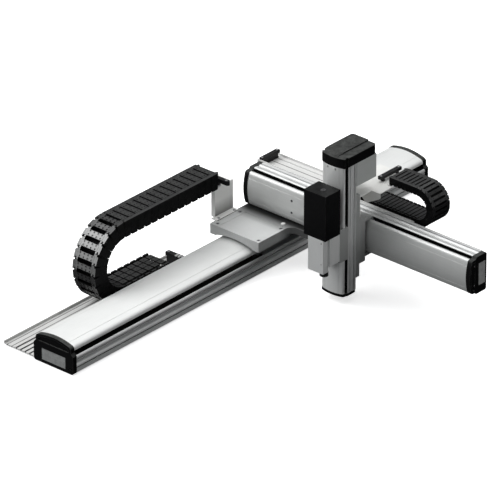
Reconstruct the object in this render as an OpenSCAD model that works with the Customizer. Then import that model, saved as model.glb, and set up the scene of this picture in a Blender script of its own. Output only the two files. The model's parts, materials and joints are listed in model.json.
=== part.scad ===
// Three-axis Cartesian robot built from enclosed ball-screw linear modules.
// X base module on the table, Y module cantilevered from the X carriage,
// Z column on the Y slider, motor-driven tool head on the Z slider.
// Origin: centre of the base module, on its mounting plane. +X along the base,
// +Y towards the cable tray, +Z up. Millimetres.

/* [Base module, X axis] */
// Overall length of the base module over its end caps
base_len = 1440; // [1300:10:1600]
// Width of the base extrusion
base_w = 140; // [136:1:144]
// Height from the mounting plane to the crown of the cover
base_h = 88; // [86:1:90]
// Thickness of the base end caps
base_cap_t = 14; // [10:1:18]
// Diameter of the X ball screw
x_screw_d = 16; // [12:1:20]

/* [Beam module, Y axis] */
// Overall length of the beam over its end caps
beam_len = 792; // [760:4:840]
// Width of the beam, measured vertically
beam_w = 110; // [108:1:110]
// Depth of the beam from its back to the crown of its cover
beam_h = 68; // [66:1:70]
// Thickness of the beam end caps
beam_cap_t = 14; // [10:1:18]
// Diameter of the Y ball screw
y_screw_d = 12; // [10:1:14]

/* [Column module, Z axis] */
// Width of the column across the beam
col_w = 84; // [82:1:84]
// Depth of the column from its back to the crown of its cover
col_h = 54; // [52:1:54]
// Lowest point of the column above the mounting plane
col_z0 = 23; // [20:1:30]
// Highest point of the column's top cap
col_z1 = 438; // [430:1:450]
// Diameter of the Z ball screw
z_screw_d = 10; // [8:1:10]

/* [Carriage plate] */
// Height of the plate's top face above the mounting plane
plate_top = 114; // [114:1:116]
// Length of the plate along the base
plate_len = 246; // [230:1:250]
// Half width of the plate
plate_hw = 86.5; // [84:0.5:87]
// How far the wing under the beam reaches past the plate
wing_len = 140; // [100:5:150]

/* [Drag chains] */
// Width of the X drag chain
xc_w = 82; // [70:1:82]
// Height of an X chain link
xc_link_h = 48; // [40:1:48]
// Outer radius of the X chain's bend
xc_r = 119.5; // [110:0.5:120]
// Width of the Y drag chain
yc_w = 72; // [60:1:72]
// Height of a Y chain link
yc_link_h = 22; // [18:1:24]
// Outer radius of the Y chain's bend
yc_r = 57.5; // [52:0.5:58]

/* [Tool head] */
// Height of the black motor cover
head_cover_h = 133; // [110:1:140]
// Radius of the spindle's tool flange
flange_r = 12; // [11:0.5:13]
// Radius of the locating bore in the tool flange
tool_bore_r = 4; // [3:0.5:5]

/* [Mounting] */
// Spacing of the base mounting holes along X
foot_dx = 1200; // [900:20:1240]
// Spacing of the base mounting holes along Y
foot_dy = 100; // [90:2:104]
// Radius of the base mounting holes
foot_hole_r = 4.5; // [3.5:0.5:5]

/* [Hidden] */
$fn = 64;

foot_t = 4;                       // foot plates under the base extrusion
bl = base_len / 2;
b_in = bl - base_cap_t;           // inner faces of the base caps
// beam frame: back face, inner and outer ends, centre height
beam_back = 197;
beam_y1 = 86;
beam_y0 = beam_y1 - beam_len;
beam_zc = plate_top + beam_w / 2;
beam_crown = beam_back - beam_h;
// column frame
col_back = 86;
col_yc = -308;
col_cap_top = 31;
col_cap_bot = 8;
zb0 = col_z0 + col_cap_bot;
zb1 = col_z1 - col_cap_top;
// saddles: centre positions at rest
xs_c = 120;
xs_l = 170;
ys_c = col_yc;
ys_l = 84;
zs_c = 182.5;
zs_l = 96;
// X chain
xc_y0 = 88;
xc_c = -341;                      // bend centre
xc_z0 = 11;
xc_zc = xc_z0 + xc_r;
xc_fix = -165;                    // fixed end
xc_mov = 32;                      // moving end
// Y chain
yc_x0 = 205;
yc_c = -456;
yc_z0 = 209;
yc_zc = yc_z0 + yc_r;
yc_fix = -255;
yc_mov = -361;
// head
hx0 = -40;
hx1 = 20;
hy0 = -350;
hy1 = -275;
sp_x = 0;
sp_y = -312;

// ---- cross-sections shared by the three modules: y across, z from back to crown ----
function fl(h) = 0.12 * h;        // floor thickness
function wt(w) = 0.085 * w;       // wall thickness
function zw(h) = 0.60 * h;        // top of the side walls
function zc(h) = 0.75 * h;        // lower edge of the cover
function cw(w) = 0.443 * w;       // half width of the cover
function scz(h) = 0.375 * h;      // height of the screw axis

function side(w, h) = concat(
  [[w/2, 0.012*h], [w/2, 0.15*h], [w/2 - 0.03*w, 0.15*h], [w/2 - 0.03*w, 0.20*h], [w/2, 0.20*h], [w/2, 0.24*h]],
  [for (i = [1:7]) let (t = i / 8) [w/2 - 0.018*w*sin(180*t), h*(0.25 + 0.18*t)]],
  [[w/2, 0.435*h], [w/2, 0.45*h], [w/2 - 0.03*w, 0.45*h], [w/2 - 0.03*w, 0.485*h], [w/2, 0.485*h],
   [w/2, 0.545*h], [w/2 - 0.012*w, 0.59*h], [w/2 - 0.03*w, zw(h)], [w/2 - wt(w), zw(h)],
   [w/2 - wt(w), fl(h) + 2], [w/2 - wt(w) - 2, fl(h)]]);
function flip(p) = [for (i = [len(p) - 1:-1:0]) [-p[i][0], p[i][1]]];
function body_pts(w, h) = concat([[w/2 - 0.008*w, 0]], side(w, h), flip(side(w, h)), [[-w/2 + 0.008*w, 0]]);

function crown_half(c, h) = concat([[c, 0.75*h], [c, 0.80*h], [0.985*c, 0.845*h], [0.945*c, 0.875*h]],
  [for (i = [0:10]) let (u = 0.88 * (1 - i / 10)) [u*c, h*(1 - 0.13*u*u)]]);
function trim(p) = [for (i = [0:len(p) - 2]) p[i]];
function crown(c, h) = concat(crown_half(c, h), flip(trim(crown_half(c, h))));
function lower(p, d, k) = [for (i = [0:len(p) - 1]) [p[i][0]*k, i == 0 || i == len(p) - 1 ? p[i][1] : p[i][1] - d]];
function rev(p) = [for (i = [len(p) - 1:-1:0]) p[i]];

module prof_x(x0, x1) { translate([x0, 0, 0]) rotate([90, 0, 90]) linear_extrude(x1 - x0) children(); }
module section_body(w, h) { polygon(body_pts(w, h)); }
module section_cover(w, h, t) {
  c = cw(w);
  difference() {
    polygon(crown(c, h));
    translate([0, -0.01]) polygon(lower(crown(c, h), t, (c - t)/c));
    // seam grooves either side of the centre panel
    for (s = [-1, 1]) translate([s*0.66*c - 0.5, 0.944*h - 0.6]) square([1, 4]);
  }
}
module lm_body(w, h, x0, x1) { prof_x(x0, x1) section_body(w, h); }
module lm_cover(w, h, x0, x1, t) { prof_x(x0, x1) section_cover(w, h, t); }

// end cap, outer face at x0, material towards +x by t; the face has an arched panel and a plate recess
module lm_cap(w, h, x0, t, z0 = 0) {
  c = cw(w);
  difference() {
    prof_x(x0, x0 + t) union() {
      polygon(concat([[w/2 - 0.03*w, z0], [w/2, z0 + 0.03*w], [w/2, 0.60*h], [w/2 - 0.04*w, 0.655*h], [c + 0.6, 0.69*h]],
        [for (p = crown(c, h)) [p[0]*(c + 0.6)/c, p[1] + 0.8]],
        [[-c - 0.6, 0.69*h], [-w/2 + 0.04*w, 0.655*h], [-w/2, 0.60*h], [-w/2, z0 + 0.03*w], [-w/2 + 0.03*w, z0]]));
    }
    // arched recess
    translate([x0 - 1, 0, 0]) prof_x(0, 3.5) polygon([for (p = crown(0.86*c, 0.93*h)) [p[0], max(p[1], 0.52*h)]]);
    // recess for the end plate
    translate([x0 - 1, -0.30*w, 0.07*h]) cube([3, 0.60*w, 0.40*h]);
  }
}
module lm_plate(w, h, x0) { translate([x0 + 0.6, -0.30*w + 0.4, 0.07*h + 0.4]) cube([1.4, 0.60*w - 0.8, 0.40*h - 0.8]); }

module lm_rails(w, h, x0, x1) {
  for (s = [-1, 1]) translate([x0, s*0.27*w - 0.05*w, fl(h)]) difference() {
    cube([x1 - x0, 0.10*w, 0.17*h]);
    for (u = [0, 1]) translate([-1, u*0.10*w - 0.012*w, 0.09*h]) cube([x1 - x0 + 2, 0.024*w, 0.03*h]);
  }
}
module lm_trucks(w, h, xc, l) {
  for (s = [-1, 1], e = [-1, 1]) translate([xc + e*l*0.31, s*0.27*w, 0]) difference() {
    translate([-l*0.17, -0.105*w, fl(h) + 0.03*h]) cube([l*0.34, 0.21*w, 0.51*h - fl(h) - 0.03*h]);
    translate([-l, -0.05*w - 0.4, 0]) cube([2*l, 0.10*w + 0.8, fl(h) + 0.17*h + 0.4]);
  }
}
// saddle inside the module, feet through the slots and legs up past the cover
module lm_saddle(w, h, xc, l, leg_top, leg_in, nut_l) {
  z0 = zw(h) + 0.016*h;
  z1 = zc(h) - 0.016*h;
  difference() {
    union() {
      translate([xc - l/2, -w/2 + wt(w) + 1, 0.51*h]) cube([l, w - 2*wt(w) - 2, z1 - 0.51*h]);
      for (s = [0, 1]) mirror([0, s, 0]) {
        translate([xc - l/2, w/2 - wt(w) - 2, z0]) cube([l, wt(w) + 2 - 0.5, z1 - z0]);
        translate([xc - l/2, cw(w) + leg_in, z0]) cube([l, w/2 - 0.5 - cw(w) - leg_in, leg_top - z0]);
      }
    }
    translate([xc - l, 0, scz(h)]) rotate([0, 90, 0]) cylinder(r = 0.17*h + 0.05, h = 2*l);
    // counterbore for the nut's flange
    translate([xc - l, 0, scz(h)]) rotate([0, 90, 0]) cylinder(r = 0.215*h + 0.3, h = l - nut_l/2 + 0.09*h);
  }
}
module lm_nut(h, xc, l, d, clr) {
  translate([xc - l/2, 0, scz(h)]) rotate([0, 90, 0]) difference() {
    union() { cylinder(r = 0.17*h, h = l); cylinder(r = 0.215*h, h = 0.09*h); }
    translate([0, 0, -1]) cylinder(r = d/2 + clr, h = l + 2);
  }
}
module lm_bearing(w, h, x0, t, d) {
  difference() {
    union() {
      translate([x0, -0.17*h - 6, fl(h)]) cube([t, 0.34*h + 12, scz(h) - fl(h) + 0.19*h]);
    }
    translate([x0 - 1, 0, scz(h)]) rotate([0, 90, 0]) cylinder(r = d/2 + 0.05, h = t + 2);
  }
}
module lm_screw(h, x0, x1, d, j0, j1) {
  jr = d*0.375;
  translate([x0, 0, scz(h)]) rotate([0, 90, 0]) union() {
    cylinder(r = jr, h = x1 - x0);
    translate([0, 0, j0]) cylinder(r = d/2, h = x1 - x0 - j0 - j1);
  }
}
module lm_motor(h, x0, l) {
  a = 0.46*h;
  translate([x0, -a/2, scz(h) - a/2]) difference() {
    union() { translate([2, 0, 0]) cube([l - 2, a, a]); translate([0, a/2, a/2]) rotate([0, 90, 0]) cylinder(r = 0.2*h, h = 2.2); }
    for (u = [0, 1], v = [0, 1]) translate([6, u*a, v*a]) rotate([45, 0, 0]) translate([0, -1.6, -1.6]) cube([l - 10, 3.2, 3.2]);
  }
}

// placement of the Y and Z modules
module to_beam() { translate([beam_back, beam_y1, beam_zc]) rotate([90, 0, -90]) children(); }
module to_column() { translate([col_back, col_yc, 0]) rotate([0, -90, 0]) children(); }
ym0 = -ys_c + beam_y1;            // slider centre along the beam's own axis
by1 = beam_len - beam_cap_t;

// ================= base module =================
module base_extrusion() color([0.80, 0.81, 0.82])
  translate([0, 0, foot_t]) difference() {
    lm_body(base_w, base_h - foot_t, -b_in, b_in);
    for (x = [-1, 1], y = [-1, 1]) translate([x*foot_dx/2, y*foot_dy/2, -1]) cylinder(r = 6, h = 8);
  }
module base_cover() color([0.93, 0.93, 0.92])
  translate([0, 0, foot_t]) lm_cover(base_w, base_h - foot_t, -b_in, b_in, 3);
module base_near_cap() color([0.06, 0.06, 0.065])
  translate([0, 0, foot_t]) lm_cap(base_w, base_h - foot_t, -bl, base_cap_t, -foot_t + 1);
module base_far_cap() color([0.06, 0.06, 0.065])
  mirror([1, 0, 0]) translate([0, 0, foot_t]) lm_cap(base_w, base_h - foot_t, -bl, base_cap_t, -foot_t + 1);
module base_end_plates() color([0.72, 0.73, 0.74])
  for (m = [0, 1]) mirror([m, 0, 0]) translate([0, 0, foot_t]) lm_plate(base_w, base_h - foot_t, -bl);
// foot plates carry the mounting holes
module base_feet() color([0.62, 0.63, 0.64])
  for (x = [-foot_dx/2, 0, foot_dx/2]) difference() {
    translate([x - 30, -64, 0]) cube([60, 128, foot_t]);
    for (y = [-1, 1]) translate([x, y*foot_dy/2, -1]) cylinder(r = foot_hole_r, h = foot_t + 2);
  }
bh = base_h - foot_t;
module x_rails() color([0.70, 0.71, 0.73]) translate([0, 0, foot_t]) lm_rails(base_w, bh, -b_in + 4, b_in - 4);
module x_bearings() color([0.35, 0.36, 0.38]) translate([0, 0, foot_t]) {
  lm_bearing(base_w, bh, -b_in + 2, 16, x_screw_d*0.75);
  lm_bearing(base_w, bh, 574, 16, x_screw_d*0.75);
}
module x_screw() color([0.75, 0.76, 0.78]) translate([0, 0, foot_t])
  lm_screw(bh, -b_in + 2, 604, x_screw_d, 18, 32);
module x_coupling() color([0.55, 0.56, 0.60]) translate([592.5, 0, foot_t + scz(bh)]) rotate([0, 90, 0]) difference() {
  cylinder(r = 13, h = 25);
  translate([0, 0, -1]) cylinder(r = x_screw_d*0.375 + 0.02, h = 12.5);
  for (z = [8, 12, 16]) translate([0, 0, z]) difference() { cylinder(r = 14, h = 1.2); translate([0, 0, -1]) cylinder(r = 9, h = 4); }
}
module x_motor() color([0.12, 0.12, 0.13]) translate([0, 0, foot_t]) lm_motor(bh, 618, 80);

// tray beside the base: floor, ribs and outer lip
tray_y1 = 181;
module x_tray() color([0.86, 0.86, 0.85]) prof_x(-bl + 4, -60) polygon([
  [base_w/2, 4], [tray_y1, 4], [tray_y1, 14], [tray_y1 - 3, 14], [tray_y1 - 3, 7],
  [140, 7], [140, 9.5], [137, 9.5], [137, 7], [124, 7], [124, 9.5], [121, 9.5], [121, 7],
  [108, 7], [108, 9.5], [105, 9.5], [105, 7], [92, 7], [92, 9.5], [89, 9.5], [89, 7],
  [base_w/2 + 3, 7], [base_w/2 + 3, 22], [base_w/2, 22]]);
// strain-relief bar on its bracket at the fixed end of the X chain
module x_strain_bar() color([0.08, 0.08, 0.085]) {
  difference() {
    union() {
      translate([-106, 96, 9.5]) cube([12, 62, 4]);
      translate([-104, 98, 12]) cube([8, 58, 22]);
      translate([-107, 96, 33]) cube([14, 62, 10]);
    }
    for (y = [102, 152]) translate([-100, y, 36]) cylinder(r = 2.2, h = 10);
  }
}
module x_chain_lower() color([0.11, 0.11, 0.12])
  translate([xc_c, xc_y0, xc_z0]) cube([xc_fix - xc_c, xc_w, xc_link_h]);
module chain_bend(r, lh, w, n) {
  // half ring of links: body ring with notched outer rim
  difference() {
    rotate([90, 0, 0]) rotate([0, 0, 90]) rotate_extrude(angle = 180, $fn = 96) translate([r - lh, 0]) square([lh - 1.5, w]);
  }
  for (i = [0:n - 1]) rotate([0, -90 - (i + 0.5)*180/n, 0]) translate([r - 3, -w, -0.36*r*3.14/n]) cube([3, w, 0.72*r*3.14/n]);
}
module x_chain_loop() color([0.11, 0.11, 0.12])
  translate([xc_c, xc_y0 + xc_w, xc_zc]) chain_bend(xc_r, xc_link_h, xc_w, 11);

// ================= X carriage =================
module x_saddle() color([0.84, 0.85, 0.86]) translate([0, 0, foot_t])
  lm_saddle(base_w, bh, xs_c, xs_l, 84 - foot_t, 2.2, 60);
module x_trucks() color([0.45, 0.47, 0.50]) translate([0, 0, foot_t]) lm_trucks(base_w, bh, xs_c, xs_l);
module x_nut() color([0.50, 0.50, 0.52]) translate([0, 0, foot_t]) lm_nut(bh, xs_c, 60, x_screw_d, 0.3);

px0 = -6;
px1 = px0 + plate_len;
plate_t = 30;
module plate_outline() {
  difference() {
    union() {
      translate([px0, -plate_hw]) square([px1 - px0, 2*plate_hw]);
      translate([px0 + 131, -plate_hw - wing_len]) square([px1 - px0 - 131, wing_len + 1]);
      translate([px0 + 107, -plate_hw - 24]) square([25, 25]);
    }
    translate([px0 + 107, -plate_hw - 24]) circle(r = 24);
    // clipped corners at the far end of the wing
    translate([px1, -plate_hw - wing_len]) rotate(45) square([28, 28], center = true);
  }
}
module carriage_plate() color([0.80, 0.81, 0.81]) difference() {
  translate([0, 0, plate_top - plate_t]) linear_extrude(plate_t) plate_outline();
  // arched clearance over the base cover
  prof_x(px0 - 1, px1 + 1) polygon(concat([[-65.5, 0], [-65.5, 86]],
    [for (i = [0:12]) let (u = -1 + i/6) [u*64.5, 95.5 - 9.5*u*u]], [[65.5, 86], [65.5, 0]]));
  // the wing is thinner than the plate
  translate([px0 + 60, -plate_hw - wing_len - 1, 0]) cube([300, wing_len + 1, plate_top - 19]);
  // raised rim: shallow recess in the top face, clear of the beam seat
  translate([px0 + 7, -plate_hw + 7, plate_top - 1]) cube([104, 2*plate_hw - 35, 2]);
  // counterbored screw seats at the corners
  for (p = [[6, -76], [6, 70], [97, -76], [97, 70]]) translate([p[0], p[1], plate_top - 5]) cylinder(r = 5.6, h = 6);
  for (p = [[6, -76], [6, 70], [97, -76], [97, 70]]) translate([p[0], p[1], 60]) cylinder(r = 3.3, h = 60);
}
module plate_screws() color([0.30, 0.30, 0.31])
  for (p = [[6, -76], [6, 70], [97, -76], [97, 70]]) translate([p[0], p[1], 0]) difference() {
    union() { translate([0, 0, plate_top - 5]) cylinder(r = 5, h = 4.2); translate([0, 0, plate_top - 24]) cylinder(r = 3.3, h = 20); }
    translate([0, 0, plate_top - 3.6]) cylinder(r = 2.6, h = 4, $fn = 6);
  }
// folded sheet bracket: flange on the plate, upright and shelf under the chain's moving end
module x_chain_bracket() color([0.90, 0.90, 0.87]) difference() {
  union() {
    translate([14, 79, plate_top]) cube([88, 21, 2.5]);
    translate([27, 97.5, plate_top]) cube([73, 2.5, 88]);
    translate([2, 97.5, 199.5]) cube([98, 72.5, 2.5]);
    translate([27, 97.5, plate_top]) cube([2.5, 14, 87]);
  }
  for (x = [26, 90]) translate([x, 84, plate_top - 1]) cylinder(r = 2.7, h = 6);
}
module x_chain_bar() color([0.08, 0.08, 0.085]) difference() {
  union() {
    translate([44, 74, 212]) cube([13, 96, 12]);
    for (y = [102, 156]) translate([46, y, 202]) cube([9, 10, 11]);
    translate([50.5, 74, 212]) cylinder(r = 6.5, h = 12);
  }
  for (y = [76, 164]) translate([50.5, y, 219]) cylinder(r = 2.2, h = 8);
}
module x_chain_upper() color([0.11, 0.11, 0.12])
  translate([xc_c, xc_y0, xc_z0 + 2*xc_r - xc_link_h]) cube([xc_mov - xc_c, xc_w, xc_link_h]);

// ================= beam module =================
module beam_extrusion() color([0.80, 0.81, 0.82]) to_beam() lm_body(beam_w, beam_h, beam_cap_t, by1);
module beam_cover() color([0.90, 0.90, 0.90]) to_beam() difference() {
  lm_cover(beam_w, beam_h, beam_cap_t, by1, 2.6);
  for (y = [-18, 17.5]) translate([171, y, beam_h - 6]) cylinder(r = 1.9, h = 8);
}
module beam_inner_cap() color([0.06, 0.06, 0.065]) to_beam() lm_cap(beam_w, beam_h, 0, beam_cap_t);
module beam_outer_cap() color([0.06, 0.06, 0.065]) to_beam() translate([beam_len, 0, 0]) mirror([1, 0, 0]) lm_cap(beam_w, beam_h, 0, beam_cap_t);
module beam_end_plates() color([0.72, 0.73, 0.74]) to_beam() {
  lm_plate(beam_w, beam_h, 0);
  translate([beam_len, 0, 0]) mirror([1, 0, 0]) lm_plate(beam_w, beam_h, 0);
}
module y_rails() color([0.70, 0.71, 0.73]) to_beam() lm_rails(beam_w, beam_h, beam_cap_t + 4, by1 - 4);
module y_bearings() color([0.35, 0.36, 0.38]) to_beam() {
  lm_bearing(beam_w, beam_h, beam_cap_t + 2, 12, y_screw_d*0.75);
  lm_bearing(beam_w, beam_h, 672, 12, y_screw_d*0.75);
}
module y_screw() color([0.75, 0.76, 0.78]) to_beam() lm_screw(beam_h, beam_cap_t + 2, 706, y_screw_d, 14, 36);
module y_motor() color([0.12, 0.12, 0.13]) to_beam() difference() {
  lm_motor(beam_h, 696, 66);
  translate([695, 0, scz(beam_h)]) rotate([0, 90, 0]) cylinder(r = y_screw_d*0.375 + 0.05, h = 14);
}

// tray behind the beam, open towards the chain; profile in x, z
module y_tray() color([0.92, 0.92, 0.90])
  translate([0, 96, 0]) rotate([90, 0, 0]) linear_extrude(551) polygon([
    [beam_back, 190], [beam_back + 2.6, 190], [beam_back + 2.6, 205], [283, 205], [283, 213], [280.6, 213], [280.6, 207.4],
    [264, 207.4], [264, 208.6], [262, 208.6], [262, 207.4], [222, 207.4], [222, 208.6], [220, 208.6], [220, 207.4],
    [beam_back + 2.6, 207.4], [beam_back + 2.6, 226], [beam_back, 226]]);
module y_strain_bar() color([0.08, 0.08, 0.085]) difference() {
  union() {
    translate([203, 81, 208.6]) cube([66, 10, 3]);
    translate([205, 82, 210]) cube([62, 8, 13]);
    translate([200.5, 80, 222]) cube([72, 12, 9]);
  }
  for (x = [206, 267]) translate([x, 86, 227]) cylinder(r = 2, h = 8);
}
module y_chain_lower() color([0.11, 0.11, 0.12])
  translate([yc_x0, yc_c, yc_z0]) cube([yc_w, yc_fix - yc_c, yc_link_h]);
module y_chain_loop() color([0.11, 0.11, 0.12])
  translate([yc_x0, yc_c, yc_zc]) rotate([0, 0, 90]) chain_bend(yc_r, yc_link_h, yc_w, 9);

// ================= Y slider and Z column =================
module y_saddle() color([0.62, 0.63, 0.64]) {
  to_beam() lm_saddle(beam_w, beam_h, ym0, ys_l, beam_h + 6, 1.6, 40);
  translate([100, ys_c - ys_l/2, 102]) cube([23.5, ys_l, 132]);
}
module y_trucks() color([0.45, 0.47, 0.50]) to_beam() lm_trucks(beam_w, beam_h, ym0, ys_l);
module y_nut() color([0.50, 0.50, 0.52]) to_beam() lm_nut(beam_h, ym0, 40, y_screw_d, 0.3);
module y_adapter() color([0.66, 0.67, 0.68]) difference() {
  translate([col_back, ys_c - ys_l/2, 65]) cube([100 - col_back, ys_l, 245]);
  for (z = [80, 295], y = [-30, 30]) translate([col_back - 1, ys_c + y, z]) rotate([0, 90, 0]) cylinder(r = 3, h = 20);
}
// bracket from the slider over the beam to the Y chain's moving end: foot, upright, shelf and tapered front panel
module y_chain_bracket() color([0.92, 0.92, 0.89]) {
  translate([100, -322, 234]) cube([24, 55, 3]);
  translate([100, -349, 240]) cube([3, 82, 62]);
  translate([100, -322, 234]) cube([3, 55, 8]);
  translate([100, -349, 299]) cube([108, 82, 3]);
  translate([148, -378, 299]) cube([52, 60, 3]);
  translate([180, -364, 299]) cube([100, 97, 3]);
  translate([148, 0, 0]) rotate([90, 0, 90]) linear_extrude(3) difference() {
    polygon([[-378, 302], [-378, 287], [-374, 283], [-336, 262], [-326, 262], [-312, 276], [-270, 276], [-270, 302]]);
    translate([-296, 288]) circle(r = 3);
  }
}
module y_chain_bar() color([0.08, 0.08, 0.085]) difference() {
  union() {
    translate([199, -340, 309]) cube([84, 12, 9]);
    for (x = [208, 266]) translate([x, -338, 302]) cube([8, 8, 8]);
  }
  for (x = [205, 277]) translate([x, -334, 314]) cylinder(r = 2, h = 8);
}
module y_chain_upper() color([0.11, 0.11, 0.12])
  translate([yc_x0, yc_c, yc_z0 + 2*yc_r - yc_link_h]) cube([yc_w, yc_mov - yc_c, yc_link_h]);

module column_extrusion() color([0.78, 0.79, 0.80]) to_column() difference() {
  lm_body(col_w, col_h, zb0, zb1);
  // extra slots down both sides
  for (s = [-1, 1]) translate([zb0 - 1, s*col_w/2 - 1.8, 0.07*col_h]) cube([zb1 - zb0 + 2, 3.6, 2]);
}
module column_cover() color([0.88, 0.88, 0.88]) to_column() difference() {
  lm_cover(col_w, col_h, zb0, zb1, 2.4);
  for (y = [-13, 13]) translate([zb1 - 10, y, col_h - 6]) cylinder(r = 1.7, h = 8);
}
mc_x1 = 166;
mc_z0 = 338;
module column_top_cap() color([0.06, 0.06, 0.065]) difference() {
  union() {
    translate([0, 0, zb1]) linear_extrude(col_cap_top) difference() {
      union() {
        // crowned front, flat sides and square back over the motor cover
        polygon([for (p = concat([[col_w/2, 0], [col_w/2, 0.6*col_h]], crown(0.48*col_w, col_h), [[-col_w/2, 0.6*col_h], [-col_w/2, 0]]))
          [col_back - p[1], col_yc + p[0]]]);
        translate([col_back - 0.5, col_yc - col_w/2]) square([mc_x1 - col_back + 0.5, col_w]);
      }
      translate([mc_x1, col_yc - col_w/2]) rotate(45) square([7, 7], center = true);
      translate([mc_x1, col_yc + col_w/2]) rotate(45) square([7, 7], center = true);
    }
  }
  // lower ledge along one side, sloping front, and notches in line with the module's slots
  translate([0, col_yc - col_w/2 - 1, col_z1 - 3.5]) cube([200, 29, 5]);
  translate([70, col_yc - 60, col_z1]) rotate([0, -5.26, 0]) translate([-60, 0, 0]) cube([60, 120, 10]);
  for (s = [-1, 1]) translate([44.6, col_yc + s*42 - 5.5, zb1 - 1]) cube([8.6, 11, col_cap_top + 2]);
  // hollow for the belt drive
  translate([46, col_yc - 34, zb1 - 1]) cube([mc_x1 - 56, 68, col_cap_top - 7]);
}
module column_bottom_cap() color([0.06, 0.06, 0.065]) to_column() translate([col_z0, 0, 0]) difference() {
  prof_x(0, col_cap_bot) polygon(concat([[col_w/2 - 3, 0], [col_w/2, 3], [col_w/2, 0.60*col_h]],
    [for (p = crown(0.46*col_w, col_h)) p], [[-col_w/2, 0.60*col_h], [-col_w/2, 3], [-col_w/2 + 3, 0]]));
  translate([-1, -0.28*col_w, 0.12*col_h]) cube([2.5, 0.56*col_w, 0.5*col_h]);
  translate([col_cap_bot - 5, 0, scz(col_h)]) rotate([0, 90, 0]) cylinder(r = z_screw_d*0.375 + 0.05, h = 10);
}
module z_rails() color([0.70, 0.71, 0.73]) to_column() lm_rails(col_w, col_h, zb0 + 1, zb1 - 14);
module z_motor() color([0.12, 0.12, 0.13]) translate([126, col_yc, mc_z0 + 3]) difference() {
  union() { translate([-24, -24, 0]) cube([48, 48, 60]); cylinder(r = 13, h = 62); }
  translate([0, 0, 50]) cylinder(r = 3.05, h = 20);
}
module z_motor_cover() color([0.52, 0.54, 0.53]) difference() {
  translate([col_back + 1, col_yc - col_w/2, mc_z0]) cube([mc_x1 - col_back - 1, col_w, zb1 - mc_z0]);
  translate([col_back + 6, col_yc - col_w/2 + 4, mc_z0 + 3]) cube([mc_x1 - col_back - 10, col_w - 8, zb1 - mc_z0]);
}
zsx = col_back - scz(col_h);      // Z screw axis
module z_screw() color([0.75, 0.76, 0.78]) translate([zsx, col_yc, zb0 - 4.5]) {
  cylinder(r = z_screw_d*0.375, h = 380);
  translate([0, 0, 10]) cylinder(r = z_screw_d/2, h = 348);
  translate([0, 0, 378]) difference() { cylinder(r = 11, h = 14); translate([0, 0, 2]) difference() { cylinder(r = 12, h = 10); translate([0, 0, -1]) cylinder(r = 9.6, h = 12); } }
}
module z_motor_pulley() color([0.60, 0.60, 0.62]) translate([126, col_yc, mc_z0 + 54]) {
  cylinder(r = 3, h = 20);
  translate([0, 0, 12.5]) difference() { cylinder(r = 11, h = 14); translate([0, 0, 2]) difference() { cylinder(r = 12, h = 10); translate([0, 0, -1]) cylinder(r = 9.6, h = 12); } }
}
belt_z = zb0 - 4.5 + 378 + 3;
module stadium(x0, x1, r) { translate([x0, 0]) circle(r = r); translate([x1, 0]) circle(r = r); translate([x0, -r]) square([x1 - x0, 2*r]); }
module z_belt() color([0.07, 0.07, 0.07]) translate([0, col_yc, belt_z]) linear_extrude(8) difference() {
  stadium(zsx, 126, 11.2);
  stadium(zsx, 126, 9.9);
}

// ================= Z slider and head =================
module z_saddle() color([0.60, 0.61, 0.62]) {
  to_column() lm_saddle(col_w, col_h, zs_c, zs_l, col_h + 2.5, 1.3, 34);
  translate([hx1, col_yc - col_w/2 + 0.5, zs_c - zs_l/2]) cube([10.5, col_w - 1, zs_l]);
}
module z_trucks() color([0.45, 0.47, 0.50]) to_column() lm_trucks(col_w, col_h, zs_c, zs_l);
module z_nut() color([0.50, 0.50, 0.52]) to_column() lm_nut(col_h, zs_c, 34, z_screw_d, 0.3);
module head_housing() color([0.74, 0.75, 0.75]) difference() {
  union() {
    translate([-20, hy0 + 1, 140]) cube([hx1 + 20, hy1 - hy0 - 2, 82]);
    translate([hx0, hy0 + 7, 122]) cube([21, 53, 100]);
  }
  translate([sp_x, sp_y, 139]) cylinder(r = 9.05, h = 44);
  translate([sp_x, sp_y, 182]) cylinder(r = 7, h = 42);
  translate([sp_x, sp_y, 130]) cylinder(r = 16, h = 14);
  for (z = [150, 212]) translate([hx0 - 1, hy0 + 14, z]) rotate([0, 90, 0]) cylinder(r = 1.6, h = 6);
}
module head_motor() color([0.12, 0.12, 0.13]) difference() {
  union() {
    translate([sp_x - 16 - 15, sp_y - 25, 222]) cube([46, 50, 74]);
    translate([sp_x - 24, sp_y - 18, 296]) cube([32, 36, 14]);
  }
  translate([sp_x, sp_y, 221]) cylinder(r = 5.05, h = 12);
}
module head_motor_cover() color([0.05, 0.05, 0.055]) difference() {
  translate([hx0, hy0, 222]) cube([hx1 - hx0, hy1 - hy0, head_cover_h]);
  translate([hx0 + 3, hy0 + 3, 221]) cube([hx1 - hx0 - 6, hy1 - hy0 - 6, head_cover_h - 3]);
}
// spindle shaft with its tool flange, bore and tapped ring
module spindle() color([0.14, 0.14, 0.15]) translate([sp_x, sp_y, 94]) difference() {
  union() { cylinder(r = flange_r, h = 12); cylinder(r = 9, h = 88); cylinder(r = 11, h = 44); cylinder(r = 5, h = 137); }
  translate([0, 0, -1]) cylinder(r = tool_bore_r, h = 21);
  for (a = [0:90:270]) rotate([0, 0, a + 45]) translate([9, 0, -1]) cylinder(r = 1.25, h = 8);
}

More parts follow.
